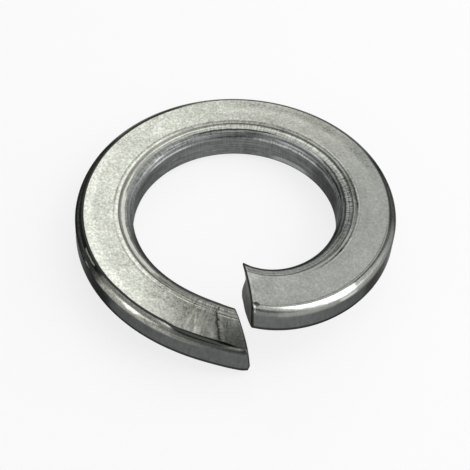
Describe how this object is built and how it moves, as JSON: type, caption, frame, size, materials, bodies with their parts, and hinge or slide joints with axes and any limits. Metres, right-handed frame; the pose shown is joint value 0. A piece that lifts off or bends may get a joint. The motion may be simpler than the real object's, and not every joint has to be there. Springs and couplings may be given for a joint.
{
  "type": "spring lock washer",
  "caption": "Split spring lock washer: a ring of rolled steel wire, cut through and sprung into a short helix, so that it keeps a bolted joint under load.",
  "frame": {"origin": "on the bore's axis, at the height of the washer's lowest corner", "axes": "+Z along the bore, from the low end's side to the high end's; -Y through the cut; +X to the right, where the high end lies"},
  "size_m": [0.057, 0.057, 0.0183],
  "materials": {
    "plated_steel": "bright zinc plate over rolled spring steel, slightly grained"
  },
  "bodies": {
    "root": {"washer": "plated_steel"}
  },
  "joints": []
}
